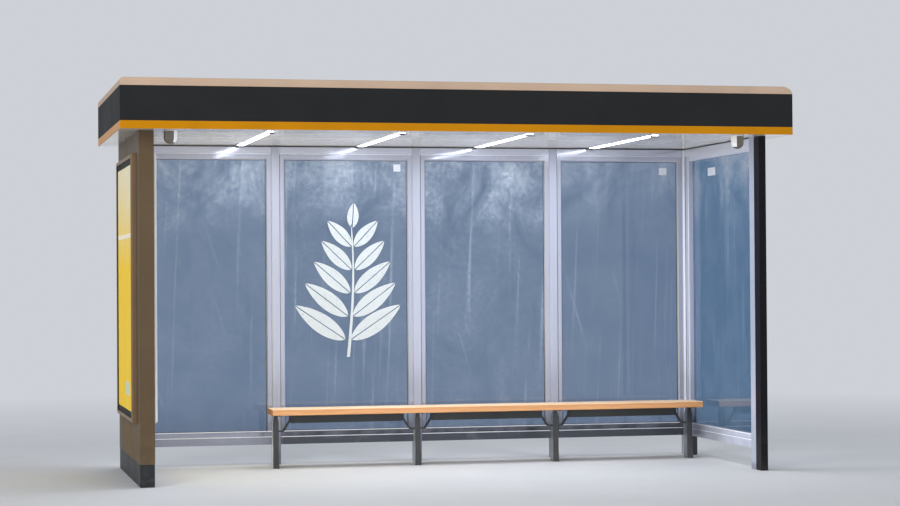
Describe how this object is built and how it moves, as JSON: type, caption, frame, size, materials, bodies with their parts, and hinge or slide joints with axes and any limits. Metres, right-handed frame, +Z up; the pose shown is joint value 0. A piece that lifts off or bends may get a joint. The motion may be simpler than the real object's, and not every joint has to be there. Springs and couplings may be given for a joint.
{
  "type": "bus shelter",
  "caption": "Bus shelter with a lit flat roof, glazed rear and right walls, a poster case as its left end and a timber bench, for waiting passengers.",
  "frame": {"origin": "centre of the footprint of the roof, on the ground", "axes": "+X along the open front towards the right end, +Y from the open front to the rear wall, +Z up"},
  "size_m": [4.658, 1.935, 2.687],
  "materials": {
    "roof_cap": "satin",
    "anthracite": "satin",
    "yellow_paint": "satin",
    "soffit_white": "satin",
    "board": "matte",
    "zinc": "matte",
    "lamp_lens": "translucent",
    "camera_white": "satin",
    "camera_smoke": "gloss",
    "aluminium": "satin",
    "clear_glass": "clear",
    "taupe_paint": "satin",
    "case_pane": "clear",
    "poster": "satin",
    "timber": "satin"
  },
  "bodies": {
    "root": {"roof_cap": "roof_cap", "roof_deck": "board", "roof_frame": "zinc", "fascia_band": "anthracite", "fascia_stripe": "yellow_paint", "soffit_panel": "soffit_white", "lamp_housings": "anthracite", "lamp_lenses": "lamp_lens", "dome_collars": "camera_white", "dome_globes": "camera_smoke", "rear_header": "aluminium", "rear_posts": "aluminium", "corner_post": "aluminium", "rear_beams": "aluminium", "glazing_frames": "aluminium", "glass_bay_1": "clear_glass", "glass_bay_2": "clear_glass", "glass_bay_3": "clear_glass", "glass_bay_4": "clear_glass", "left_plinth": "anthracite", "left_front_pillar": "taupe_paint", "left_rear_pillar": "taupe_paint", "left_top_box": "taupe_paint", "left_lower_panel": "taupe_paint", "case_core": "zinc", "case_frame_outer": "taupe_paint", "case_frame_inner": "aluminium", "case_pane_outer": "case_pane", "case_pane_inner": "case_pane", "poster_outer": "poster", "poster_inner": "poster", "right_front_post": "anthracite", "side_jambs": "aluminium", "side_top_rail": "aluminium", "side_bottom_rail": "aluminium", "side_beam": "aluminium", "side_glass": "clear_glass", "bench_plank_front": "timber", "bench_plank_rear": "timber", "bench_beams": "anthracite", "cup_brackets": "anthracite", "bench_legs": "anthracite", "seat_rests": "anthracite"}
  },
  "joints": []
}
